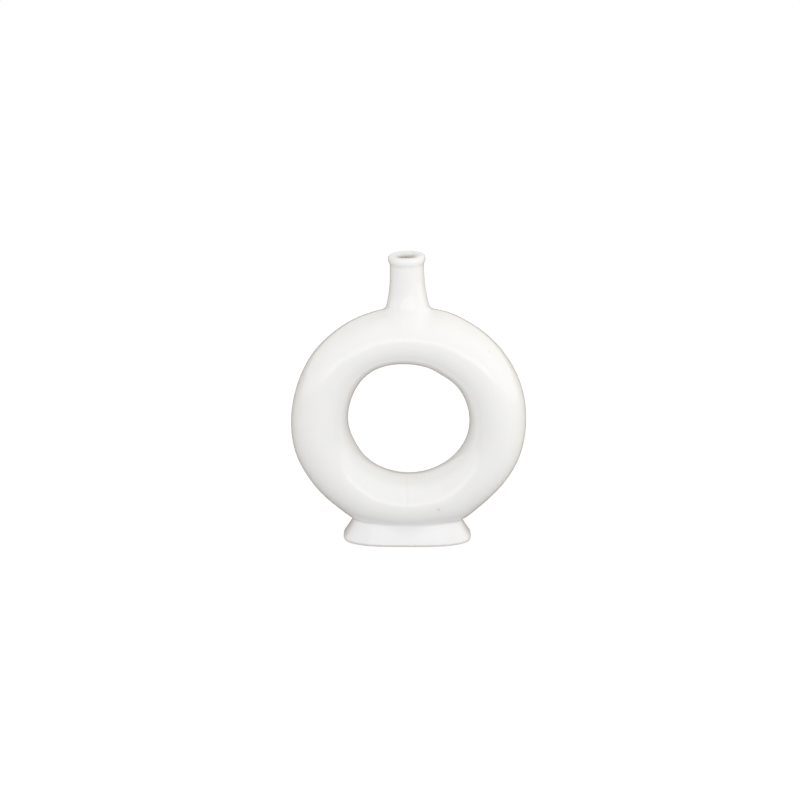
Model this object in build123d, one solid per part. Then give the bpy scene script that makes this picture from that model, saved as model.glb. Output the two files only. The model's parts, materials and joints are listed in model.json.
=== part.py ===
"""Ring-shaped flower vase of glazed earthenware, standing on an oblong foot.

Five clay pieces are shaped one by one and luted together with slip before firing:
two half shells that close to a hollow ring, a foot under it, a neck on it and a rolled lip.
Millimetres, +Z up, +Y to the back, origin on the table under the middle of the foot.
"""

from build123d import *
import os
from math import copysign, cos, pi, sin, sqrt

# Driving dimensions of the ring
ring_width = 200.0
tube_diameter = 48.8
ring_wall = 5.0
ring_lift = 8.2

# Driving dimensions of the neck: how far it tapers outwards, and the flare of its root
neck_height = 37.3
neck_wall = 5.8
neck_taper = 0.3
neck_flare_height = 32.0
neck_flare_width = 4.8
neck_flare_depth = 3.2
neck_flare_power = 2.2

# Driving dimensions of the mouth: a straight bore that opens like a bell into the ring
bore_radius = 8.0
bell_height = 7.3
bell_flare = 4.5

# Driving dimensions of the lip
lip_height = 7.0
lip_overhang = 1.3
lip_outer_rounding = 3.0
lip_inner_rounding = 2.0

# Driving dimensions of the foot: its outline where it meets the ring, and how far it flares out
foot_top_half_width = 46.0
foot_inset = 4.2
foot_flare_width = 9.5
foot_flare_depth = 3.4
foot_wall = 6.5

# Bluntness of the foot's outline on the table and at the ring: 2 is an ellipse, more is nearer a rectangle
foot_base_power = 3.2
foot_top_power = 2.5

# Straight flare of the foot from the table up: share of its height, share of its flare
foot_profile_shares = (
    (0.0, 0.93),
    (0.06, 1.0),
    (1.0, 0.0),
)

# How finely free outlines are drawn
neck_levels = 10
foot_outline_points = 36

# Overrun of every cutting body past what it cuts
overrun = 2.0

# Places and sizes that follow
tube_radius = tube_diameter / 2
ring_radius = ring_width / 2
tube_centre_radius = ring_radius - tube_radius
cavity_radius = tube_radius - ring_wall
ring_centre_height = ring_lift + ring_radius
crown_height = ring_lift + ring_width
lip_bottom = crown_height + neck_height
throat_radius = bore_radius + bell_flare
neck_top_radius = bore_radius + neck_wall
neck_root_half_width = neck_top_radius + neck_taper + neck_flare_width
neck_root_half_depth = neck_top_radius + neck_taper + neck_flare_depth
foot_top_half_depth = tube_radius - foot_inset

upwards = (Align.CENTER, Align.CENTER, Align.MIN)


def half_shell(side):
    """Half of the hollow ring, to the back for side 1 and to the front for side -1."""
    section = Circle(tube_radius) - Circle(cavity_radius)
    section &= Pos(0, side * tube_radius) * Rectangle(tube_diameter, tube_diameter)
    shell = revolve(Pos(tube_centre_radius, 0) * section, Axis.Y)
    throat = Cylinder(throat_radius, tube_radius + overrun, align=upwards)
    return Pos(0, 0, ring_centre_height) * shell - Pos(0, 0, crown_height - tube_radius) * throat


def ring_body():
    """Outside of the ring as a full solid, which the neck and the foot are cut to."""
    body = revolve(Pos(tube_centre_radius, 0) * Circle(tube_radius), Axis.Y)
    return Pos(0, 0, ring_centre_height) * body


def neck_reach(drop, root_drop, flare):
    """Half size of the neck at a depth below its top, on one of its two sides."""
    into_flare = max(0, (drop - root_drop + neck_flare_height) / neck_flare_height)
    return neck_top_radius + neck_taper * drop / root_drop + flare * into_flare**neck_flare_power


def neck():
    """Flared tube whose root sits on the ring like a saddle, and so reaches lower at the front."""
    side_drop = neck_height + ring_radius - sqrt(ring_radius**2 - neck_root_half_width**2)
    front_drop = neck_height + tube_radius - sqrt(tube_radius**2 - neck_root_half_depth**2)
    lowest_drop = front_drop + overrun
    sections = []
    for level in range(neck_levels):
        drop = lowest_drop * level / (neck_levels - 1)
        half_width = neck_reach(drop, side_drop, neck_flare_width)
        half_depth = neck_reach(drop, front_drop, neck_flare_depth)
        sections.append(Pos(0, 0, lip_bottom - drop) * Ellipse(half_width, half_depth))
    bore = Cylinder(bore_radius, neck_height + overrun, align=upwards)
    bell = Cone(throat_radius, bore_radius, bell_height, align=upwards)
    throat = Cylinder(throat_radius, lowest_drop - neck_height + overrun, align=upwards)
    tube = loft(sections) - Pos(0, 0, crown_height) * bore - Pos(0, 0, crown_height) * bell
    return tube - Pos(0, 0, lip_bottom - lowest_drop - overrun) * throat - ring_body()


def lip():
    """Rolled bead round the mouth, standing a little proud of the neck."""
    thickness = neck_wall + lip_overhang
    section = Rectangle(thickness, lip_height)
    outer = section.vertices().group_by(Axis.X)[-1]
    section = fillet(outer, lip_outer_rounding)
    inner_top = section.vertices().group_by(Axis.X)[0].sort_by(Axis.Y)[-1]
    section = fillet(inner_top, lip_inner_rounding)
    middle = Pos(bore_radius + thickness / 2, lip_bottom + lip_height / 2)
    return revolve(Plane.XZ * middle * section, Axis.Z)


def oblong(half_width, half_depth, level, power):
    """Blunt oval outline of the foot at one height, between an ellipse and a rectangle."""
    points = []
    for i in range(foot_outline_points):
        turn = 2 * pi * i / foot_outline_points
        across = copysign(abs(cos(turn)) ** (2 / power), cos(turn))
        along = copysign(abs(sin(turn)) ** (2 / power), sin(turn))
        points.append((across * half_width, along * half_depth))
    return Pos(0, 0, level) * make_face(Spline(*points, periodic=True))


def foot():
    """Open flared skirt whose top edge is cut to the ring's underside."""
    notch_height = ring_centre_height - sqrt(ring_radius**2 - foot_top_half_width**2)
    saddle_height = ring_lift + tube_radius - notch_height
    flared = [
        oblong(
            foot_top_half_width + flare_share * foot_flare_width,
            foot_top_half_depth + flare_share * foot_flare_depth,
            height_share * notch_height,
            foot_base_power + height_share * (foot_top_power - foot_base_power),
        )
        for height_share, flare_share in foot_profile_shares
    ]
    hollow = [
        oblong(
            foot_top_half_width + foot_flare_width - foot_wall,
            foot_top_half_depth + foot_flare_depth - foot_wall,
            -overrun,
            foot_base_power,
        ),
        oblong(
            foot_top_half_width - foot_wall,
            foot_top_half_depth - foot_wall,
            notch_height,
            foot_top_power,
        ),
    ]
    outside = loft(flared, ruled=True) + extrude(flared[-1], saddle_height, dir=(0, 0, 1))
    inside = loft(hollow, ruled=True) + extrude(hollow[-1], saddle_height + overrun, dir=(0, 0, 1))
    return outside - inside - ring_body()


pieces = {
    "ring_front_half": half_shell(-1),
    "ring_rear_half": half_shell(1),
    "neck": neck(),
    "lip_ring": lip(),
    "foot_ring": foot(),
}

os.makedirs("parts", exist_ok=True)
for name, piece in pieces.items():
    export_step(piece, f"parts/{name}.step")
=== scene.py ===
"""Ring-shaped flower vase in glossy white glaze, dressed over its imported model.

Every glazed piece is one closed shell of clay. The outsides follow one skin that runs over the ring,
the neck and the foot, so that the luted joints are covered by glaze as on the real vase.
"""

import json
from math import pi, radians, tan

import bmesh
import bpy
import numpy as np
from bpy.props import FloatProperty, FloatVectorProperty, IntProperty, PointerProperty
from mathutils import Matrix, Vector


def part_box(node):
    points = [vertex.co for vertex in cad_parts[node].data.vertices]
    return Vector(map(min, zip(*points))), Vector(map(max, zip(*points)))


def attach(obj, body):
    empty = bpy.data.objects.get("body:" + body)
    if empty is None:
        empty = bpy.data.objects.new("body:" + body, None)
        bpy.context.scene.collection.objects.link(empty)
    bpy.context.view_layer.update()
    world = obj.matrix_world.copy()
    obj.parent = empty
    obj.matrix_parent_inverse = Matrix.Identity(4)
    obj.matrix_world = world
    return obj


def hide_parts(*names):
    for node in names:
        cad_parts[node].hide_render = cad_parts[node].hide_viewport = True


bl_info = {
    "name": "Donut vase",
    "version": (1, 0, 0),
    "blender": (4, 5, 0),
    "location": "View3D > Sidebar > Vase",
    "description": "Ring-shaped flower vase with a bottle neck and an oblong foot, and a small photo stage",
    "category": "Object",
}

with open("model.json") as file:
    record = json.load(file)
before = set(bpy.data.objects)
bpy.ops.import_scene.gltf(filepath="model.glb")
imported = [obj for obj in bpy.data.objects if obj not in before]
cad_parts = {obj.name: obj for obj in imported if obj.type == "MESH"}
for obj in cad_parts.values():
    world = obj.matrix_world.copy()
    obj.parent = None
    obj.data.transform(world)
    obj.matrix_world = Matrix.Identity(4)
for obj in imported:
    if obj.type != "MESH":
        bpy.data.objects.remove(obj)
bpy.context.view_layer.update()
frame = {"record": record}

MM = 0.001
RING_LOW, RING_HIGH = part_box("ring_front_half")
LIP_LOW, LIP_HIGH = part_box("lip_ring")
FOOT_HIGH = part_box("foot_ring")[1]
MOUTH = next(m for m in frame["record"]["mounts"] if m["name"] == "mouth_bore")
BORE = MOUTH["dims"]["r_mm"] * MM
RING_RADIUS = (RING_HIGH.x - RING_LOW.x) / 2
RING_MIDDLE = RING_LOW.z + RING_RADIUS
CROWN = RING_LOW.z + 2 * RING_RADIUS

# What the potter's hand left on the ring: angle and width of each mark in degrees, and its height
OUTER_MARKS = (
    (165, 14, -0.9 * MM),
    (198, 13, 0.9 * MM),
    (220, 12, 0.4 * MM),
    (243, 8, 2.2 * MM),
    (4, 9, -0.4 * MM),
    (-17, 9, 0.4 * MM),
    (-42, 9, -0.6 * MM),
    (-62, 7, 2.2 * MM),
    (71, 8, 0.9 * MM),
)
HOLE_MARKS = (
    (126, 27, 3.2 * MM),
    (205, 17, -1.2 * MM),
    (275, 34, -0.75 * MM),
    (57, 12, -0.95 * MM),
    (-15, 22, 0.4 * MM),
)

# How far neck and foot run out over the ring, to the sides and to the front, and where and how deep they dive
COVERS = {"neck": (6 * MM, 4 * MM), "foot": (3.4 * MM, 2.4 * MM)}
COVER_EDGE = 0.75
COVER_DIVE = 0.3 * MM

# How deep the ring's skin dives under neck and foot
RING_DIVE = 0.5 * MM

# Where the joints end: depth under the crown, and height as a share of the foot's, and how softly they fade
NECK_JOINT_DEPTH, NECK_JOINT_FADE = 30 * MM, 18 * MM
FOOT_JOINT_SHARE, FOOT_JOINT_FADE_SHARE = 2.2, 0.5

# How the neck's flare grows towards its root, and how far past the ring's skin it goes on
NECK_FLARE_POWER, NECK_FLARE_END = 2.15, 1.2

# Bluntness of the foot's outline on the table and at the ring, and how its flare grows downwards
FOOT_BASE_POWER, FOOT_TOP_POWER = 3.2, 2.5
FOOT_FLARE_POWER = 1.15

# The foot's outline at the ring, and how far the glazed foot bulges over its CAD node in front
FOOT_TOP_HALF_WIDTH, FOOT_TOP_HALF_DEPTH = 46.0 * MM, 20.1 * MM
FOOT_BULGE = 0.7 * MM

# Rows of faces along the sections of the ring, the neck, the lip and the foot
RING_OUTER_ROWS, RING_INNER_ROWS = 58, 30
NECK_WALL_ROWS, FOOT_WALL_ROWS = 34, 40
BEND_ROWS, COVER_ROWS = 14, 7
BELL_ROWS, BORE_ROWS = 9, 20
LIP_BORE_ROWS, LIP_IN_ROWS, LIP_OUT_ROWS, LIP_UNDER_ROWS = 6, 10, 14, 16
FOOT_INNER_ROWS = 12
CUTTER_FACES = 64

# Limits that keep the sums on the skins finite
LEAST_HALF_TUBE = 2 * MM
LEAST_SLIP = 0.01 * MM
LEAST_SHARE = 1e-6
LEAST_STEEPNESS = 0.05
SETTLE_PASSES = 8

# Specks in the glaze: where they are, their radius and how strong they show
SPECKS = (
    ((25.6 * MM, -24.4 * MM, 36.5 * MM), 1.4 * MM, 0.30),
    ((65.6 * MM, -15.7 * MM, 175.3 * MM), 0.9 * MM, 0.2),
)
HALO_SIZE, HALO_STRENGTH = 2.6, 0.25

# Faint darker upright line down the front of the ring's lowest part, with where it fades
FRONT_LINE_X, FRONT_LINE_HALF_WIDTH, FRONT_LINE_STRENGTH = -1.0 * MM, 1.9 * MM, 0.06
FRONT_LINE_WANDER, FRONT_LINE_SWELLS = 5 * MM, 60
FRONT_LINE_DEPTH = (-6 * MM, 2 * MM)
FRONT_LINE_BOTTOM, FRONT_LINE_TOP = (34 * MM, 40 * MM), (60 * MM, 66 * MM)

# A darker brownish tint towards the table: the heights that it fades between, how far it wanders, and how
# much it shows
BASE_TINT_LOW, BASE_TINT_HIGH, BASE_TINT_WANDER, BASE_TINT_STRENGTH = 1.6 * MM, 3.8 * MM, 1.2 * MM, 0.7

# Swells to the metre of the noise in glaze and clay, and the height of the bumps that it makes
CLOUD_SWELLS, BASE_TINT_SWELLS, PEEL_SWELLS, GLOSS_SWELLS, GRAIN_SWELLS = 45, 160, 260, 70, 900
BUMP_HEIGHT = 0.1 * MM
GLAZE_IOR = 1.5
GLOSS_SPREAD = 0.15
CLAY_ROUGHNESS, CLAY_BUMP, CLAY_SHADE = 0.9, 0.3, 0.85

SHARP_ANGLE = radians(40)


class VaseRingSettings(bpy.types.PropertyGroup):
    """Sizes of the hollow ring."""

    radius: FloatProperty(
        name="Radius",
        description="From the middle of the ring to its outside",
        default=RING_RADIUS - 0.45 * MM,
        unit="LENGTH",
    )
    tube_radius: FloatProperty(
        name="Tube radius", description="Half of the tube's thickness", default=-RING_LOW.y, unit="LENGTH"
    )
    wall: FloatProperty(name="Wall", description="Thickness of the clay", default=5 * MM, unit="LENGTH")
    throat_radius: FloatProperty(
        name="Throat", description="Radius of the hole under the neck", default=12.5 * MM, unit="LENGTH"
    )
    hole_radius: FloatProperty(
        name="Hole radius",
        description="From the middle of the ring to the edge of its hole",
        default=RING_RADIUS + 2 * RING_LOW.y,
        unit="LENGTH",
    )
    marks: FloatProperty(
        name="Marks", description="How strongly the marks of the hand show", default=1, subtype="FACTOR"
    )
    wobble: FloatProperty(
        name="Wobble",
        description="Height of the unevenness left by hand",
        default=0.12 * MM,
        unit="LENGTH",
    )
    steps: IntProperty(name="Steps", description="Faces round the ring", default=256, min=32)


class VaseNeckSettings(bpy.types.PropertyGroup):
    """Sizes of the bottle neck."""

    top_radius: FloatProperty(
        name="Top radius", description="Outside radius under the lip", default=13.8 * MM, unit="LENGTH"
    )
    taper: FloatProperty(
        name="Taper", description="How much wider the neck is at its root", default=0.2 * MM, unit="LENGTH"
    )
    flare_height: FloatProperty(
        name="Flare height", description="Height of the flared root", default=33 * MM, unit="LENGTH"
    )
    flare_width: FloatProperty(
        name="Flare width", description="How far the root flares sideways", default=4.7 * MM, unit="LENGTH"
    )
    flare_depth: FloatProperty(
        name="Flare depth",
        description="How far the root flares to the front",
        default=3.4 * MM,
        unit="LENGTH",
    )
    side_fillet: FloatProperty(
        name="Side fillet",
        description="Reach of the slip at both sides of the root",
        default=4 * MM,
        unit="LENGTH",
    )
    front_fillet: FloatProperty(
        name="Front fillet",
        description="Reach of the slip before and behind the root",
        default=9 * MM,
        unit="LENGTH",
    )
    root_shift: FloatProperty(
        name="Root shift",
        description="How far the neck stands off centre",
        default=-0.9 * MM,
        unit="LENGTH",
    )
    top_shift: FloatProperty(
        name="Top shift", description="How far off centre the mouth is", default=-1.95 * MM, unit="LENGTH"
    )
    steps: IntProperty(name="Steps", description="Faces round the neck", default=144, min=24)


class VaseLipSettings(bpy.types.PropertyGroup):
    """Sizes of the rolled lip."""

    radius: FloatProperty(
        name="Radius", description="Outside radius of the bead", default=LIP_HIGH.x, unit="LENGTH"
    )
    outer_rounding: FloatProperty(
        name="Outer rounding", description="Roundness of the bead outside", default=2.9 * MM, unit="LENGTH"
    )
    inner_rounding: FloatProperty(
        name="Inner rounding", description="Roundness into the mouth", default=3.2 * MM, unit="LENGTH"
    )
    underside: FloatProperty(
        name="Underside",
        description="Height over which the bead runs into the neck",
        default=4.2 * MM,
        unit="LENGTH",
    )
    tilt: FloatProperty(
        name="Tilt",
        description="How far the mouth leans off level",
        default=radians(1.5),
        unit="ROTATION",
    )


class VaseFootSettings(bpy.types.PropertyGroup):
    """Sizes of the oblong foot."""

    top_half_width: FloatProperty(
        name="Top half width",
        description="At the joint with the ring",
        default=FOOT_TOP_HALF_WIDTH,
        unit="LENGTH",
    )
    top_half_depth: FloatProperty(
        name="Top half depth",
        description="At the joint with the ring",
        default=FOOT_TOP_HALF_DEPTH,
        unit="LENGTH",
    )
    flare_width: FloatProperty(
        name="Flare width",
        description="How far the foot spreads sideways",
        default=FOOT_HIGH.x - FOOT_TOP_HALF_WIDTH,
        unit="LENGTH",
    )
    flare_depth: FloatProperty(
        name="Flare depth",
        description="How far the foot spreads to the front",
        default=FOOT_HIGH.y + FOOT_BULGE - FOOT_TOP_HALF_DEPTH,
        unit="LENGTH",
    )
    wall: FloatProperty(name="Wall", description="Thickness of the skirt", default=6.5 * MM, unit="LENGTH")
    fillet: FloatProperty(
        name="Fillet",
        description="Reach of the slip that blends foot and ring",
        default=1.6 * MM,
        unit="LENGTH",
    )
    edge_rounding: FloatProperty(
        name="Edge rounding",
        description="Roundness of the edge on the table",
        default=1.4 * MM,
        unit="LENGTH",
    )
    shift: FloatProperty(
        name="Shift", description="How far the foot stands off centre", default=-1.0 * MM, unit="LENGTH"
    )
    steps: IntProperty(name="Steps", description="Faces round the foot", default=224, min=24)


class VaseGlazeSettings(bpy.types.PropertyGroup):
    """Colours and gloss of the glaze and the clay."""

    colour: FloatVectorProperty(
        name="Colour",
        description="Glaze as it mostly is",
        default=(0.865, 0.862, 0.842),
        subtype="COLOR",
        min=0,
        max=1,
    )
    thick_colour: FloatVectorProperty(
        name="Thick",
        description="Glaze where it lies thick",
        default=(0.856, 0.862, 0.85),
        subtype="COLOR",
        min=0,
        max=1,
    )
    # Painted light: a lighter white painted on the foot and in the crease above it, where the foot catches
    # more light
    painted_foot_light_colour: FloatVectorProperty(
        name="Painted foot light",
        description="Lighter white painted on the foot, a painted light",
        default=(0.885, 0.886, 0.878),
        subtype="COLOR",
        min=0,
        max=1,
    )
    thin_colour: FloatVectorProperty(
        name="Thin",
        description="Glaze where clay shows through",
        default=(0.60, 0.54, 0.49),
        subtype="COLOR",
        min=0,
        max=1,
    )
    speck_colour: FloatVectorProperty(
        name="Specks",
        description="Iron specks in the glaze",
        default=(0.34, 0.30, 0.20),
        subtype="COLOR",
        min=0,
        max=1,
    )
    clay_colour: FloatVectorProperty(
        name="Clay", description="Dry clay", default=(0.78, 0.72, 0.65), subtype="COLOR", min=0, max=1
    )
    roughness: FloatProperty(
        name="Roughness", description="Of the glaze", default=0.06, subtype="FACTOR", min=0, max=1
    )
    peel: FloatProperty(
        name="Orange peel",
        description="Unevenness of the gloss",
        default=0.08,
        subtype="FACTOR",
        min=0,
        max=1,
    )


class VaseStageSettings(bpy.types.PropertyGroup):
    """The room that the vase stands in."""

    room_colour: FloatVectorProperty(
        name="Room",
        description="Soft light of the room",
        default=(1.0, 0.98, 0.93),
        subtype="COLOR",
        min=0,
        max=1,
    )
    room_strength: FloatProperty(
        name="Room light", description="Strength of that light", default=0.825, subtype="FACTOR", min=0
    )


class VaseSettings(bpy.types.PropertyGroup):
    """Everything about the vase that can be changed."""

    ring: PointerProperty(type=VaseRingSettings)
    neck: PointerProperty(type=VaseNeckSettings)
    lip: PointerProperty(type=VaseLipSettings)
    foot: PointerProperty(type=VaseFootSettings)
    glaze: PointerProperty(type=VaseGlazeSettings)


def vase():
    """The settings of the vase in the current scene."""
    return bpy.context.scene.donut_vase


def mix(one, other, share):
    """A value part of the way from one to the other."""
    return one + (other - one) * share


def bump(turn, middle, width):
    """Smooth swelling of height 1 at an angle round the ring, in degrees, that fades over a width."""
    away = (np.degrees(turn) - middle + 180) % 360 - 180
    return np.exp(-((away / width) ** 2))


def marked(reach, turn, marks):
    """A radius at angles round the ring, with the marks of the hand on it."""
    strength = vase().ring.marks
    return reach + sum(strength * height * bump(turn, middle, width) for middle, width, height in marks)


def ring_reach(turn):
    """Outer and inner radius of the ring at angles round it."""
    ring = vase().ring
    return marked(ring.radius, turn, OUTER_MARKS), marked(ring.hole_radius, turn, HOLE_MARKS)


def wobble(points):
    """Slow unevenness of the skin, as a sum of a few waves."""
    x, y, z = points.T
    waves = (
        np.sin(x / (13 * MM) + 1.3 * np.sin(z / (21 * MM)))
        + np.sin(z / (11 * MM) + 0.7 + np.sin(x / (17 * MM)))
        + np.sin((x + z) / (9 * MM) + y / (7 * MM))
        + np.sin(y / (8 * MM) - z / (15 * MM) + 2.1)
    )
    return vase().ring.wobble * waves / 2


def ring_gap(points):
    """Distance from points to the ring's skin, negative inside the tube."""
    x, y, z = points.T
    up = z - RING_MIDDLE
    outer, inner = ring_reach(np.arctan2(up, x))
    middle, half = (outer + inner) / 2, (outer - inner) / 2
    share = np.hypot((np.hypot(x, up) - middle) / half, y / vase().ring.tube_radius)
    return (share - 1) * half + wobble(points)


def ring_edge(x, y, side):
    """Height of the ring's skin over (side 1) or under (side -1) a place in plan."""
    ring = vase().ring
    half = np.sqrt(np.maximum(ring.tube_radius**2 - y**2, LEAST_HALF_TUBE**2))
    reach = ring.radius - ring.tube_radius + half
    return RING_MIDDLE + side * np.sqrt(np.maximum(reach**2 - x**2, 0))


def neck_middle(z):
    """Where the leaning neck's axis is at a height."""
    neck = vase().neck
    share = (z - CROWN) / (LIP_HIGH.z - CROWN)
    return neck.root_shift + (neck.top_shift - neck.root_shift) * np.clip(share, 0, 1)


def neck_radius(x, y, z, sideways):
    """Outside radius of the neck near a point. It flares towards the ring's skin below."""
    neck = vase().neck
    flare = mix(neck.flare_depth, neck.flare_width, sideways)
    above = z - ring_edge(x, y, 1)
    into_flare = np.clip(1 - above / neck.flare_height, 0, NECK_FLARE_END)
    drop = (LIP_LOW.z - z) / (LIP_LOW.z - CROWN)
    return neck.top_radius + neck.taper * drop + flare * into_flare**NECK_FLARE_POWER


def neck_gap(points):
    """Distance from points to the neck's skin, negative inside it, and how far sideways they stand."""
    x, y, z = points.T
    across = x - neck_middle(z)
    sideways = across**2 / np.maximum(across**2 + y**2, MM**2)
    return np.hypot(across, y) - neck_radius(x, y, z, sideways), sideways


def foot_power(z):
    """Bluntness of the foot's outline: 2 is an ellipse, more is nearer to a rectangle."""
    return mix(FOOT_BASE_POWER, FOOT_TOP_POWER, np.clip(z / foot_height(), 0, 1))


def foot_height():
    """Height of the joint between foot and ring at the two ends of the foot."""
    return RING_MIDDLE - (RING_RADIUS**2 - vase().foot.top_half_width ** 2) ** 0.5


def foot_half_sizes(z):
    """Half width and half depth of the foot's outline at a height."""
    foot = vase().foot
    rounding = foot.edge_rounding
    share = np.clip((foot_height() - z) / (foot_height() - rounding), 0, 1) ** FOOT_FLARE_POWER
    below = np.clip(1 - z / rounding, 0, 1)
    rounded = rounding * (1 - np.sqrt(1 - below**2))
    half_width = foot.top_half_width + foot.flare_width * share - rounded
    return half_width, foot.top_half_depth + foot.flare_depth * share - rounded


def foot_gap(points):
    """Distance from points to the foot's skin, negative inside it, and how far sideways they stand."""
    x, y, z = points.T
    power = foot_power(z)
    half_width, half_depth = foot_half_sizes(z)
    across = np.maximum(np.abs(x - vase().foot.shift) / half_width, LEAST_SHARE)
    along = np.maximum(np.abs(y) / half_depth, LEAST_SHARE)
    size = (across**power + along**power) ** (1 / power)
    slope = size ** (1 - power) * np.hypot(
        across ** (power - 1) / half_width, along ** (power - 1) / half_depth
    )
    return (size - 1) / slope + wobble(points), (across / size) ** power


def slip(one, other, reach):
    """Thickness of the slip that fills the corner between two skins."""
    near = np.clip(reach - np.abs(one - other), 0, None) / reach
    return near**2 * reach / 4


def cover_width(joint, sideways):
    """How far a joined piece runs out over the ring."""
    side, front = COVERS[joint]
    return mix(front, side, sideways)


def joint_with(joint, points):
    """Distance to the joined piece, the slip's reach there, and the share of the cover run out over."""
    if joint == "neck":
        gap, sideways = neck_gap(points)
        near = np.clip((points[:, 2] - CROWN + NECK_JOINT_DEPTH) / NECK_JOINT_FADE, 0, 1)
        reach = mix(vase().neck.front_fillet, vase().neck.side_fillet, sideways)
    else:
        gap, sideways = foot_gap(points)
        below = FOOT_JOINT_SHARE * foot_height() - points[:, 2]
        near = np.clip(below / (FOOT_JOINT_FADE_SHARE * foot_height()), 0, 1)
        reach = vase().foot.fillet
    near = near**2 * (3 - 2 * near)
    cover = mix(1, np.clip(gap / cover_width(joint, sideways), 0, 1), near)
    return gap, np.maximum(reach * near, LEAST_SLIP), cover


def joined_skin(joint):
    """Distance function to the glazed skin of the ring and a piece joined to it."""

    def skin(points):
        ring = ring_gap(points)
        gap, reach, _ = joint_with(joint, points)
        return np.minimum(ring, gap) - slip(ring, gap, reach)

    return skin


def ring_skin(points):
    """Distance to the ring's own skin. It rises to the slip at the joints and dips under the pieces."""
    ring = ring_gap(points)
    total = ring
    for joint in COVERS:
        gap, reach, cover = joint_with(joint, points)
        total = total - slip(ring, gap, reach) + dip(1 - cover, 1 - COVER_EDGE, RING_DIVE)
    return total


def dip(share, start, depth):
    """Gentle dive under a skin, that starts level at a share and reaches its depth at share 1."""
    return depth * np.clip((share - start) / (1 - start), 0, 1) ** 2


def slope_of(skin, points):
    """Direction in which the distance to a skin grows, at each point."""
    step = 0.02 * MM
    slope = np.empty_like(points)
    for axis in range(3):
        aside = np.zeros(3)
        aside[axis] = step
        slope[:, axis] = (skin(points + aside) - skin(points - aside)) / (2 * step)
    return slope


def settle(skin, points, sink=0.0):
    """Points moved to the nearest place on a skin, and then sunk under it."""
    for _ in range(SETTLE_PASSES):
        slope = slope_of(skin, points)
        steepness = np.maximum((slope**2).sum(1), LEAST_STEEPNESS)
        points = points - slope * (skin(points) / steepness)[:, None]
    slope = slope_of(skin, points)
    return points - slope / np.linalg.norm(slope, axis=1)[:, None] * np.reshape(sink, (-1, 1))


def lathe(rows, steps):
    """Closed tube spun from a column of points, whose heights are the numbers of the rows."""
    bm = bmesh.new()
    column = [bm.verts.new((1, 0, row)) for row in range(rows)]
    for row, vert in enumerate(column):
        bm.edges.new((vert, column[(row + 1) % rows]))
    bmesh.ops.spin(
        bm,
        geom=bm.verts[:] + bm.edges[:],
        cent=(0, 0, 0),
        axis=(0, 0, 1),
        dvec=(0, 0, 0),
        angle=2 * pi,
        steps=steps,
        use_merge=True,
        use_normal_flip=False,
        use_duplicate=False,
    )
    return bm


def shape(bm, place):
    """Moves each vertex of a lathed tube to where place puts its row and its turn."""
    codes = np.array([vert.co for vert in bm.verts])
    rows = np.rint(codes[:, 2]).astype(int)
    turns = np.arctan2(codes[:, 1], codes[:, 0])
    layer = bm.verts.layers.int.new("row")
    for vert, spot, row in zip(bm.verts, place(rows, turns), rows):
        vert.co = spot
        vert[layer] = row


def paint_inside(bm, first_inner_row):
    """Gives the faces inside a shell the second material, bare clay."""
    layer = bm.verts.layers.int["row"]
    for face in bm.faces:
        if all(vert[layer] >= first_inner_row for vert in face.verts):
            face.material_index = 1


def paint_rim(bm):
    """Gives the faces that stand on the table the second material, bare clay."""
    for face in bm.faces:
        if all(vert.co.z == 0 for vert in face.verts):
            face.material_index = 1


def face_outwards(bm):
    """Turns all faces of a closed shell outwards."""
    bm.normal_update()
    bmesh.ops.recalc_face_normals(bm, faces=bm.faces)
    if bm.calc_volume(signed=True) < 0:
        bmesh.ops.reverse_faces(bm, faces=bm.faces)


def finish_mesh(bm):
    """Turns all faces outwards, shades them smooth and leaves the real edges sharp."""
    face_outwards(bm)
    for face in bm.faces:
        face.smooth = True
    for edge in bm.edges:
        edge.smooth = edge.calc_face_angle(0) < SHARP_ANGLE


def add_piece(bm, name, node, materials):
    """Puts a finished mesh into the scene in place of its CAD node."""
    mesh = bpy.data.meshes.new(name)
    bm.to_mesh(mesh)
    bm.free()
    piece = bpy.data.objects.new(name, mesh)
    bpy.context.scene.collection.objects.link(piece)
    for material in materials:
        mesh.materials.append(material)
    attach(piece, "root")
    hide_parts(node)
    return piece


def section_angles():
    """Angles round the tube's section for the outer skin, with a close row beside each joint."""
    beside = radians(0.4)
    return np.concatenate([[0], np.linspace(beside, pi - beside, RING_OUTER_ROWS), [pi]])


def ring_places(side):
    """Places of a half shell's vertices: outer skin first, then the inner one back."""
    ring = vase().ring
    outer = section_angles()
    angles = np.concatenate([outer, np.linspace(pi, 0, RING_INNER_ROWS)])

    def place(rows, turns):
        outside, inside = ring_reach(turns)
        middle, half = (outside + inside) / 2, (outside - inside) / 2
        depth = ring.tube_radius
        covered = rows < len(outer)
        inset = np.where(covered, 0, ring.wall)
        reach = middle + (half - inset) * np.cos(angles[rows])
        points = np.stack(
            [
                reach * np.cos(turns),
                side * (depth - inset) * np.sin(angles[rows]),
                RING_MIDDLE + reach * np.sin(turns),
            ],
            axis=1,
        )
        points[covered] = settle(ring_skin, points[covered])
        return points

    return place, len(angles), len(outer)


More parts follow.
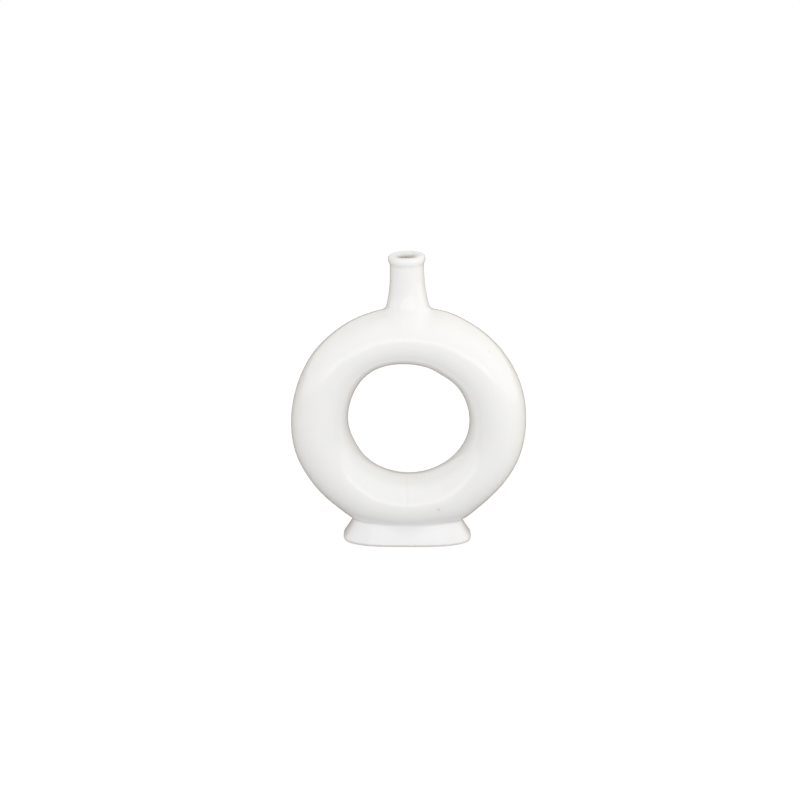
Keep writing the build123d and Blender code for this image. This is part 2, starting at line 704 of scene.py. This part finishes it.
def cut_throat(bm):
    """Cuts the round hole under the neck out of a half shell."""
    ring = vase().ring
    cutter = bmesh.new()
    bmesh.ops.create_cone(
        cutter,
        cap_ends=True,
        segments=CUTTER_FACES,
        radius1=ring.throat_radius,
        radius2=ring.throat_radius,
        depth=2 * ring.tube_radius,
    )
    bmesh.ops.translate(cutter, verts=cutter.verts, vec=(vase().neck.root_shift, 0, CROWN))
    objects = []
    for name, part in (("shell", bm), ("cutter", cutter)):
        mesh = bpy.data.meshes.new(name)
        part.to_mesh(mesh)
        objects.append(bpy.data.objects.new(name, mesh))
        bpy.context.scene.collection.objects.link(objects[-1])
    cutter.free()
    shell, tool = objects
    cut = shell.modifiers.new("throat", "BOOLEAN")
    cut.operation, cut.solver, cut.object = "DIFFERENCE", "EXACT", tool
    result = shell.evaluated_get(bpy.context.evaluated_depsgraph_get()).to_mesh()
    bm.clear()
    bm.from_mesh(result)
    for item in objects:
        mesh = item.data
        bpy.data.objects.remove(item)
        bpy.data.meshes.remove(mesh)


class OBJECT_OT_vase_ring_halves(bpy.types.Operator):
    """Add the two half shells that make the hollow ring"""

    bl_idname = "object.vase_ring_halves"
    bl_label = "Ring halves"

    def execute(self, context):
        for name, node, side in (
            ("glazed_front_half", "ring_front_half", -1),
            ("glazed_rear_half", "ring_rear_half", 1),
        ):
            place, rows, inner_row = ring_places(side)
            bm = lathe(rows, vase().ring.steps)
            shape(bm, place)
            paint_inside(bm, inner_row)
            face_outwards(bm)
            cut_throat(bm)
            finish_mesh(bm)
            add_piece(bm, name, node, (white_glaze(), bare_clay()))
        return {"FINISHED"}


def mouth_level(x, z):
    """Height of a point once the mouth is tilted, less and less towards the neck's root."""
    share = np.clip((z - CROWN) / (LIP_LOW.z - CROWN), 0, 1)
    return z + share**2 * tan(vase().lip.tilt) * (x - neck_middle(z))


def joint_rows(wall_rows):
    """Rows of a piece's skin: down its wall, round into the joint and out over the ring."""
    bend_reach = 0.96 * COVER_EDGE
    wall = [(0, 1, share) for share in np.linspace(1, 0, wall_rows)]
    bend = [
        (bend_reach * (1 - np.cos(a)), 1 - np.sin(a), 0) for a in np.linspace(0, pi / 2, BEND_ROWS)[1:]
    ]
    cover = [(share, 0, 0) for share in np.linspace(COVER_EDGE, 1, COVER_ROWS)]
    return wall + bend + cover


def settled(joint, points, skinned, beyond):
    """Points with those of the skin settled on it, and the last rows dived under the ring's skin."""
    sink = dip(beyond, COVER_EDGE, COVER_DIVE)
    points[skinned] = settle(joined_skin(joint), points[skinned], sink[skinned])
    return points


def neck_places():
    """Places of the neck's vertices: skin, root in the ring's wall, then the bell and the bore."""
    neck, ring = vase().neck, vase().ring
    height = LIP_LOW.z - CROWN
    bell, bell_start = 7.3 * MM, -1.2 * MM
    rise = 6 * MM
    hidden_root = ((4 * MM, -1.5 * MM), (1.5 * MM, -1.8 * MM))
    skin = joint_rows(NECK_WALL_ROWS)
    inside = [(ring.throat_radius + outside, level) for outside, level in hidden_root]
    inside += [
        (BORE + (ring.throat_radius - BORE) * (1 - share) ** 2, mix(bell_start, bell, share))
        for share in np.linspace(0, 1, BELL_ROWS)
    ]
    inside += [(BORE, level) for level in np.linspace(bell, height, BORE_ROWS)[1:]]
    table = np.array(skin + [(out, over, 0) for out, over in inside])

    def place(rows, turns):
        skinned = rows < len(skin)
        beyond, over, climb = table[rows].T
        sideways = np.cos(turns) ** 2
        root = neck.top_radius + neck.taper + mix(neck.flare_depth, neck.flare_width, sideways)
        out = np.where(skinned, root + beyond * cover_width("neck", sideways), beyond)
        x, y = out * np.cos(turns), out * np.sin(turns)
        edge = ring_edge(x + neck.root_shift, y, 1)
        joined = edge + over * rise + climb * (LIP_LOW.z - edge - rise)
        z = np.where(skinned, joined, np.where(over < 0, edge, CROWN) + over)
        points = np.stack([x + neck_middle(z), y, z], axis=1)
        points = settled("neck", points, skinned, np.where(skinned, beyond, 0))
        points[:, 2] = mouth_level(points[:, 0], points[:, 2])
        return points

    return place, len(table), len(skin) + len(hidden_root)


class OBJECT_OT_vase_neck(bpy.types.Operator):
    """Add the flared neck, whose root runs out over the ring"""

    bl_idname = "object.vase_neck"
    bl_label = "Neck"

    def execute(self, context):
        place, rows, inner_row = neck_places()
        bm = lathe(rows, vase().neck.steps)
        shape(bm, place)
        paint_inside(bm, inner_row)
        finish_mesh(bm)
        add_piece(bm, "glazed_neck", "neck", (white_glaze(), bare_clay()))
        return {"FINISHED"}


def arc(middle, radius, start, end, steps):
    """Points along an arc between two angles, in degrees."""
    return [
        (middle[0] + radius * np.cos(a), middle[1] + radius * np.sin(a))
        for a in np.radians(np.linspace(start, end, steps))
    ]


def lip_profile():
    """Outline of the bead, over its top and down its underside, and how many of its rows are glazed."""
    lip, neck = vase().lip, vase().neck
    low, high = LIP_LOW.z, LIP_HIGH.z
    outer, inner = lip.outer_rounding, lip.inner_rounding
    skin = neck.top_radius + 0.03 * MM
    bottom = low - 1.2 * MM
    seat = low - 0.2 * MM
    glaze_end = high - inner - 0.3 * MM
    bore = [(BORE, level) for level in np.linspace(seat, glaze_end, LIP_BORE_ROWS)]
    roll_in = arc((BORE + inner, high - inner), inner, 180, 90, LIP_IN_ROWS)
    roll_out = arc((lip.radius - outer, high - outer), outer, 90, 0, LIP_OUT_ROWS)
    underside = [
        (mix(lip.radius, skin, (1 - np.cos(pi * share)) / 2), bottom + lip.underside * (1 - share))
        for share in np.linspace(0, 1, LIP_UNDER_ROWS)
    ]
    tuck_radius = skin - 1.5 * MM
    tuck = [(skin - 0.3 * MM, bottom - 0.5 * MM), (tuck_radius, bottom), (tuck_radius, seat)]
    glazed = roll_in + roll_out + underside
    return glazed + tuck + bore, len(glazed)


class OBJECT_OT_vase_lip(bpy.types.Operator):
    """Add the rolled lip round the mouth"""

    bl_idname = "object.vase_lip"
    bl_label = "Lip"

    def execute(self, context):
        outline, inner_row = lip_profile()
        profile = np.array(outline)

        def place(rows, turns):
            out, z = profile[rows].T
            x = out * np.cos(turns) + neck_middle(z)
            points = np.stack([x, out * np.sin(turns), z], axis=1)
            points[:, 2] = mouth_level(points[:, 0], points[:, 2])
            return points

        bm = lathe(len(profile), vase().neck.steps)
        shape(bm, place)
        paint_inside(bm, inner_row)
        finish_mesh(bm)
        add_piece(bm, "glazed_lip", "lip_ring", (white_glaze(), bare_clay()))
        return {"FINISHED"}


def oblong(half_width, half_depth, power, turns):
    """Points of the foot's blunt oval outline."""
    across, along = np.cos(turns), np.sin(turns)
    x = np.sign(across) * np.abs(across) ** (2 / power) * half_width
    y = np.sign(along) * np.abs(along) ** (2 / power) * half_depth
    return x, y


def foot_places():
    """Places of the foot's vertices: skin up to the ring, then its wall inside and the rim."""
    foot = vase().foot
    top = foot_height()
    rise = 2.5 * MM
    bevel, softening = 1.2 * MM, 0.4 * MM
    buried_depth = 1 * MM
    skin = joint_rows(FOOT_WALL_ROWS)
    inside = [(0.5 * foot.wall, top), (foot.wall, top)]
    inside += [(foot.wall, level) for level in np.linspace(0.7 * top, bevel, FOOT_INNER_ROWS)]
    inside += [(foot.wall - softening, softening), (foot.wall - bevel, 0)]
    table = np.array(skin + [(inward, level, 0) for inward, level in inside])

    def place(rows, turns):
        skinned = rows < len(skin)
        beyond, over, down = table[rows].T
        level = np.where(skinned, top * (1 - down**0.8), over)
        outward = np.where(skinned, beyond * cover_width("foot", np.cos(turns) ** 2), -beyond)
        half_width, half_depth = foot_half_sizes(level)
        x, y = oblong(half_width + outward, half_depth + outward, foot_power(level), turns)
        x = x + foot.shift
        edge = ring_edge(x, y, -1)
        joined = (edge - over * rise) * (1 - down)
        highest = edge + buried_depth
        buried = np.where(level < top, np.minimum(level, highest), highest)
        points = np.stack([x, y, np.where(skinned, joined, buried)], axis=1)
        points = settled("foot", points, skinned, np.where(skinned, beyond, 0))
        points[rows == 0, 2] = 0
        return points

    return place, len(table), len(skin)


class OBJECT_OT_vase_foot(bpy.types.Operator):
    """Add the flared foot, open below, with a dry rim that rests on the table"""

    bl_idname = "object.vase_foot"
    bl_label = "Foot"

    def execute(self, context):
        place, rows, inner_row = foot_places()
        bm = lathe(rows, vase().foot.steps)
        shape(bm, place)
        paint_inside(bm, inner_row)
        paint_rim(bm)
        finish_mesh(bm)
        add_piece(bm, "glazed_foot", "foot_ring", (white_glaze(), bare_clay()))
        return {"FINISHED"}


class Nodes:
    """Short hand for laying out the nodes of a material or a world."""

    def __init__(self, owner):
        owner.use_nodes = True
        self.tree = owner.node_tree
        self.tree.nodes.clear()

    def add(self, kind, **inputs):
        """New node of a kind, with values or links for its inputs. Names are those of the sockets."""
        node = self.tree.nodes.new(kind)
        for name, value in inputs.items():
            self.feed(node.inputs[name.replace("_", " ")], value)
        return node

    def feed(self, socket, value):
        """Links or sets one input."""
        if isinstance(value, bpy.types.NodeSocket):
            self.tree.links.new(value, socket)
        else:
            socket.default_value = value

    def math(self, operation, *values, clamp=False):
        """Result of a sum on one, two or three values."""
        node = self.tree.nodes.new("ShaderNodeMath")
        node.operation, node.use_clamp = operation, clamp
        for socket, value in zip(node.inputs, values):
            self.feed(socket, value)
        return node.outputs[0]

    def vector(self, operation, *values):
        """Result of a sum on vectors."""
        node = self.tree.nodes.new("ShaderNodeVectorMath")
        node.operation = operation
        for socket, value in zip(node.inputs, values):
            self.feed(socket, value)
        return node

    def noise(self, place, scale, detail=2.0, roughness=0.5):
        """Grey noise at a place, with a number of swells to the metre."""
        node = self.add("ShaderNodeTexNoise", Vector=place, Scale=scale, Detail=detail, Roughness=roughness)
        return node.outputs["Fac"]

    def ramp(self, value, low, high, start=0.0, end=1.0):
        """A value carried from one range to another, and held inside it."""
        node = self.add("ShaderNodeMapRange", Value=value)
        node.interpolation_type = "SMOOTHSTEP"
        for name, number in (("From Min", low), ("From Max", high), ("To Min", start), ("To Max", end)):
            node.inputs[name].default_value = number
        return node.outputs["Result"]

    def blend(self, share, one, other):
        """Mix of two colours."""
        node = self.tree.nodes.new("ShaderNodeMix")
        node.data_type = "RGBA"
        for name, value in (("Factor_Float", share), ("A_Color", one), ("B_Color", other)):
            self.feed(next(s for s in node.inputs if s.identifier == name), value)
        return next(s for s in node.outputs if s.identifier == "Result_Color")

    def finish(self, kind, surface):
        """Puts the last shader into the output."""
        self.tree.links.new(surface, self.tree.nodes.new(kind).inputs["Surface"])


def colour(value):
    """A colour with full opacity."""
    return (*value, 1)


def new_material(name, build):
    """The material of that name, laid out by a function the first time it is asked for."""
    made = bpy.data.materials.get(name)
    if not made:
        made = bpy.data.materials.new(name)
        build(Nodes(made))
    return made


def speck(nodes, place, spot, size):
    """Round mark of a size at a spot on the glaze, 1 in its middle and 0 outside."""
    away = nodes.vector("DISTANCE", place, spot).outputs["Value"]
    return nodes.ramp(away, 0.35 * size, size, 1, 0)


def front_line(nodes, place):
    """Faint upright line down the front of the ring's lowest part."""
    x, y, z = nodes.add("ShaderNodeSeparateXYZ", Vector=place).outputs
    wander = nodes.math("MULTIPLY", nodes.noise(place, FRONT_LINE_SWELLS), FRONT_LINE_WANDER)
    beside = nodes.math("SUBTRACT", x, FRONT_LINE_X + FRONT_LINE_WANDER / 2)
    off = nodes.math("ABSOLUTE", nodes.math("ADD", beside, wander))
    front = nodes.ramp(y, *FRONT_LINE_DEPTH, 1, 0)
    height = nodes.math("MULTIPLY", nodes.ramp(z, *FRONT_LINE_BOTTOM), nodes.ramp(z, *FRONT_LINE_TOP, 1, 0))
    line = nodes.ramp(off, 0, FRONT_LINE_HALF_WIDTH, 1, 0)
    return nodes.math("MULTIPLY", line, nodes.math("MULTIPLY", front, height))


def glaze_nodes(nodes):
    """Glossy white glaze: cloudy in thickness, with a little orange peel and a few specks. Its foot and the
    crease above it are painted a lighter white, a painted light; it grows darker and browner towards the
    table, and a faint darker line runs down the ring's front.
    """
    settings = vase().glaze
    place = nodes.add("ShaderNodeTexCoord").outputs["Object"]
    height = nodes.add("ShaderNodeSeparateXYZ", Vector=place).outputs["Z"]
    clouds = nodes.ramp(nodes.noise(place, CLOUD_SWELLS, 3), 0.35, 0.7)
    body = nodes.blend(clouds, colour(settings.colour), colour(settings.thick_colour))
    # Painted light: the foot and the crease above it are painted a lighter white, for the light that the foot
    # catches
    painted_foot_light = nodes.ramp(height, foot_height(), 1.4 * foot_height(), 1, 0)
    body = nodes.blend(painted_foot_light, body, colour(settings.painted_foot_light_colour))
    wander = nodes.math("MULTIPLY", nodes.noise(place, BASE_TINT_SWELLS), BASE_TINT_WANDER)
    base_tint = nodes.ramp(nodes.math("ADD", height, wander), BASE_TINT_LOW, BASE_TINT_HIGH, 1, 0)
    body = nodes.blend(nodes.math("MULTIPLY", base_tint, BASE_TINT_STRENGTH), body, colour(settings.thin_colour))
    for spot, size, strength in SPECKS:
        halo = nodes.math("MULTIPLY", speck(nodes, place, spot, HALO_SIZE * size), HALO_STRENGTH * strength)
        body = nodes.blend(halo, body, colour(settings.thin_colour))
        core = nodes.math("MULTIPLY", speck(nodes, place, spot, size), strength)
        body = nodes.blend(core, body, colour(settings.speck_colour))
    line = nodes.math("MULTIPLY", front_line(nodes, place), FRONT_LINE_STRENGTH)
    body = nodes.blend(line, body, colour(settings.thin_colour))
    peel = nodes.noise(place, PEEL_SWELLS, 2)
    bump = nodes.add("ShaderNodeBump", Height=peel, Strength=settings.peel, Distance=BUMP_HEIGHT)
    gloss = nodes.ramp(
        nodes.noise(place, GLOSS_SWELLS, 2),
        0.3,
        0.7,
        settings.roughness * (1 - GLOSS_SPREAD),
        settings.roughness * (1 + GLOSS_SPREAD),
    )
    shader = nodes.add("ShaderNodeBsdfPrincipled", Base_Color=body, Roughness=gloss, Normal=bump.outputs[0])
    shader.inputs["IOR"].default_value = GLAZE_IOR
    nodes.finish("ShaderNodeOutputMaterial", shader.outputs[0])


def clay_nodes(nodes):
    """Dry buff clay."""
    place = nodes.add("ShaderNodeTexCoord").outputs["Object"]
    settings = vase().glaze
    grain = nodes.ramp(nodes.noise(place, GRAIN_SWELLS, 4), 0.35, 0.65)
    shaded = [CLAY_SHADE * part for part in settings.clay_colour]
    body = nodes.blend(grain, colour(settings.clay_colour), colour(shaded))
    bump = nodes.add("ShaderNodeBump", Height=grain, Strength=CLAY_BUMP, Distance=BUMP_HEIGHT)
    shader = nodes.add(
        "ShaderNodeBsdfPrincipled", Base_Color=body, Roughness=CLAY_ROUGHNESS, Normal=bump.outputs[0]
    )
    nodes.finish("ShaderNodeOutputMaterial", shader.outputs[0])


def white_glaze():
    """Glossy white glaze."""
    return new_material("glossy_glaze", glaze_nodes)


def bare_clay():
    """Dry clay that no glaze covers."""
    return new_material("bare_clay", clay_nodes)


# Lamps of the studio, which light the clay: name, place, aim, width, height, strength and tint
SOFTBOXES = (
    ("front_window", (0, -1.8, 0.8), (0, 0, 0.8), 3.4, 1.6, 1.09, (0.84, 0.865, 1.0)),
    ("right_window", (1.2, -0.15, 0.42), (0, -0.15, 0.42), 1.0, 0.8, 1.2, (1.0, 0.975, 0.895)),
)

# Cards that show in the gloss alone: name, two corners, spread of the far edge, strength near the vase
# and far from it, and tint
CARDS = (
    ("table_card", (-1.8, -1.8, 0.3 * MM), (1.8, 0.7, 0.3 * MM), 1, 0.1, 0.45, (1.0, 0.9, 0.8)),
    ("shadow_card", (-0.13, -0.03, 0.5 * MM), (0.13, 0.03, 0.5 * MM), 1, 0.1, 0.1, (1.0, 0.6, 0.4)),
    ("floor_card", (-0.25, 0.0, 0.5 * MM), (0.25, 0.7, 0.5 * MM), 10, 0.16, 0.16, (1.0, 0.56, 0.38)),
    ("rear_card", (-2.5, 0.7, 0), (2.5, 0.7, 0.3), 1, 0.16, 0.16, (1.0, 0.56, 0.38)),
    ("front_card", (-1.7, -1.79, 0), (1.7, -1.79, 1.6), 1, 0.8, 0.8, (0.92, 0.9, 1.0)),
    ("sill_card", (-1.4, -1.78, 0), (1.4, -1.78, 0.42), 1, 1.65, 1.65, (0.98, 0.98, 1.0)),
    ("right_card", (1.2, -0.68, 0), (1.2, 0.28, 0.8), 1, 0.97, 0.97, (1.0, 1.0, 0.98)),
    ("top_card", (-1.7, -1.79, 1.7), (1.7, 1.2, 1.7), 1, 0.87, 0.87, (0.9, 0.97, 1.0)),
)

# Distances from the vase between which a card's strength changes
CARD_NEAR, CARD_FAR = 0.3, 1.9

# Floor: how far it reaches, the oval round the vase where it is painted darker, a painted shade in the light
# that it throws back, and what it adds to its shadow
FLOOR_REACH = 4
FLOOR_OVAL = (1, 1.6, 1)
FLOOR_PAINTED_SHADE_TO, FLOOR_PALE_FROM = 0.05, 0.28
FLOOR_PAINTED_SHADE, FLOOR_PALE, FLOOR_SHADOW = (0.45, 0.45, 0.45), (0.7, 0.7, 0.7), (0.16, 0.16, 0.16)
FLOOR_GLOW = 0.9

CAMERA_DISTANCE = 1.05
CAMERA_RISE = 0.4286
CAMERA_PITCH = radians(21.338)
CAMERA_TURN = radians(0.397)
FOCAL_SHARE = 1340.5 / 800
SENSOR = 36.0


def add_camera():
    """Camera in front of the vase and above it, as in the photograph."""
    data = bpy.data.cameras.new("camera")
    data.sensor_width = SENSOR
    data.lens = FOCAL_SHARE * SENSOR
    camera = bpy.data.objects.new("camera", data)
    bpy.context.scene.collection.objects.link(camera)
    camera.location = (0, -CAMERA_DISTANCE, RING_MIDDLE + CAMERA_RISE)
    camera.rotation_euler = (pi / 2 - CAMERA_PITCH, 0, CAMERA_TURN)
    bpy.context.scene.camera = camera


def seen_rays(nodes):
    """1 for the rays that show the background as it is: to the camera, in reflections and through glass."""
    path = nodes.add("ShaderNodeLightPath").outputs
    seen = nodes.math("MAXIMUM", path["Is Camera Ray"], path["Is Glossy Ray"])
    return nodes.math("MAXIMUM", seen, path["Is Transmission Ray"])


def world_nodes(nodes):
    """White where it is seen, and the soft light of the room for the rest."""
    stage = bpy.context.scene.vase_stage
    room = nodes.add("ShaderNodeBackground", Color=colour(stage.room_colour), Strength=stage.room_strength)
    white = nodes.add("ShaderNodeBackground", Color=(1, 1, 1, 1), Strength=1.0)
    shader = nodes.add("ShaderNodeMixShader", Fac=seen_rays(nodes))
    nodes.feed(shader.inputs[1], room.outputs[0])
    nodes.feed(shader.inputs[2], white.outputs[0])
    nodes.finish("ShaderNodeOutputWorld", shader.outputs[0])


def floor_nodes(nodes):
    """Pale matt floor that comes out white, and keeps a share of the vase's shadow. For the light that it
    throws back it is painted darker round the vase, a painted shade.
    """
    place = nodes.add("ShaderNodeTexCoord").outputs["Object"]
    # Painted shade: the floor is painted darker in an oval round the vase, for the light that it throws back
    oval = nodes.vector("MULTIPLY", place, FLOOR_OVAL).outputs["Vector"]
    far = nodes.ramp(nodes.vector("LENGTH", oval).outputs["Value"], FLOOR_PAINTED_SHADE_TO, FLOOR_PALE_FROM)
    tone = nodes.blend(far, colour(FLOOR_PAINTED_SHADE), colour(FLOOR_PALE))
    matt = nodes.add("ShaderNodeBsdfDiffuse", Color=tone)
    shadow = nodes.add("ShaderNodeBsdfDiffuse", Color=colour(FLOOR_SHADOW))
    white = nodes.add("ShaderNodeEmission", Color=(1, 1, 1, 1), Strength=FLOOR_GLOW)
    lit = nodes.add("ShaderNodeAddShader")
    nodes.feed(lit.inputs[0], shadow.outputs[0])
    nodes.feed(lit.inputs[1], white.outputs[0])
    shader = nodes.add("ShaderNodeMixShader", Fac=seen_rays(nodes))
    nodes.feed(shader.inputs[1], matt.outputs[0])
    nodes.feed(shader.inputs[2], lit.outputs[0])
    nodes.finish("ShaderNodeOutputMaterial", shader.outputs[0])


def card_material(name, near, far, tint):
    """Glow of one card, even or changing with the distance from the vase."""

    def build(nodes):
        glow = nodes.add("ShaderNodeEmission", Color=colour(tint), Strength=near)
        if near != far:
            place = nodes.add("ShaderNodeTexCoord").outputs["Object"]
            away = nodes.vector("LENGTH", place).outputs["Value"]
            nodes.feed(glow.inputs["Strength"], nodes.ramp(away, CARD_NEAR, CARD_FAR, near, far))
        nodes.finish("ShaderNodeOutputMaterial", glow.outputs[0])

    return new_material(name, build)


def add_sheet(name, material, low, high, spread=1):
    """Flat sheet between two corners that share one coordinate.

    The far edge of a level sheet is as many times wider as the spread says.
    """
    (x0, y0, z0), (x1, y1, z1) = low, high
    if z0 == z1:
        corners = [(x0, y0, z0), (x1, y0, z0), (x1 * spread, y1, z0), (x0 * spread, y1, z0)]
    elif y0 == y1:
        corners = [(x0, y0, z0), (x1, y0, z0), (x1, y0, z1), (x0, y0, z1)]
    else:
        corners = [(x0, y0, z0), (x0, y1, z0), (x0, y1, z1), (x0, y0, z1)]
    mesh = bpy.data.meshes.new(name)
    mesh.from_pydata(corners, [], [range(4)])
    mesh.materials.append(material)
    sheet = bpy.data.objects.new(name, mesh)
    bpy.context.scene.collection.objects.link(sheet)
    return sheet


def add_card(name, low, high, spread, near, far, tint):
    """Card that shows in the gloss alone, where a strength of 1 is as bright as white."""
    card = add_sheet(name, card_material(name, near, far, tint), low, high, spread)
    card.visible_camera = card.visible_diffuse = card.visible_transmission = False
    card.visible_shadow = card.visible_volume_scatter = False


def add_softbox(name, place, aim, width, height, strength, tint):
    """Square lamp of an even brightness, where a strength of 1 is as bright as white."""
    lamp = bpy.data.lights.new(name, "AREA")
    lamp.shape, lamp.size, lamp.size_y = "RECTANGLE", width, height
    lamp.color = tint
    lamp.energy = strength * pi * width * height
    box = bpy.data.objects.new(name, lamp)
    bpy.context.scene.collection.objects.link(box)
    box.location = place
    box.rotation_euler = (Vector(aim) - Vector(place)).to_track_quat("-Z", "Y").to_euler()
    box.visible_glossy = False


class SCENE_OT_vase_stage(bpy.types.Operator):
    """Add the floor, the lights, the world and the camera"""

    bl_idname = "scene.vase_stage"
    bl_label = "Stage"

    def execute(self, context):
        add_camera()
        context.scene.world = bpy.data.worlds.new("studio")
        world_nodes(Nodes(context.scene.world))
        corner, opposite = (-FLOOR_REACH, -FLOOR_REACH, 0), (FLOOR_REACH, FLOOR_REACH, 0)
        add_sheet("floor", new_material("floor", floor_nodes), corner, opposite)
        for card in CARDS:
            add_card(*card)
        for softbox in SOFTBOXES:
            add_softbox(*softbox)
        context.scene.view_settings.view_transform = "Standard"
        return {"FINISHED"}


class VIEW3D_PT_donut_vase(bpy.types.Panel):
    """Lists the pieces of the vase and its stage"""

    bl_label = "Donut vase"
    bl_space_type = "VIEW_3D"
    bl_region_type = "UI"
    bl_category = "Vase"

    def draw(self, context):
        for operator in STEPS:
            self.layout.operator(operator.bl_idname)


SETTINGS = (
    VaseRingSettings,
    VaseNeckSettings,
    VaseLipSettings,
    VaseFootSettings,
    VaseGlazeSettings,
    VaseSettings,
    VaseStageSettings,
)
STEPS = (
    OBJECT_OT_vase_ring_halves,
    OBJECT_OT_vase_neck,
    OBJECT_OT_vase_lip,
    OBJECT_OT_vase_foot,
    SCENE_OT_vase_stage,
)
CLASSES = SETTINGS + STEPS + (VIEW3D_PT_donut_vase,)


def register():
    """Makes the settings, the operators and the panel known."""
    for item in CLASSES:
        bpy.utils.register_class(item)
    bpy.types.Scene.donut_vase = PointerProperty(type=VaseSettings)
    bpy.types.Scene.vase_stage = PointerProperty(type=VaseStageSettings)


def unregister():
    """Takes the settings, the operators and the panel away again."""
    del bpy.types.Scene.donut_vase
    del bpy.types.Scene.vase_stage
    for item in reversed(CLASSES):
        bpy.utils.unregister_class(item)


def main():
    """Builds the vase and its stage."""
    register()
    bpy.ops.object.vase_ring_halves()
    bpy.ops.object.vase_neck()
    bpy.ops.object.vase_lip()
    bpy.ops.object.vase_foot()
    bpy.ops.scene.vase_stage()


if __name__ == "__main__":
    main()
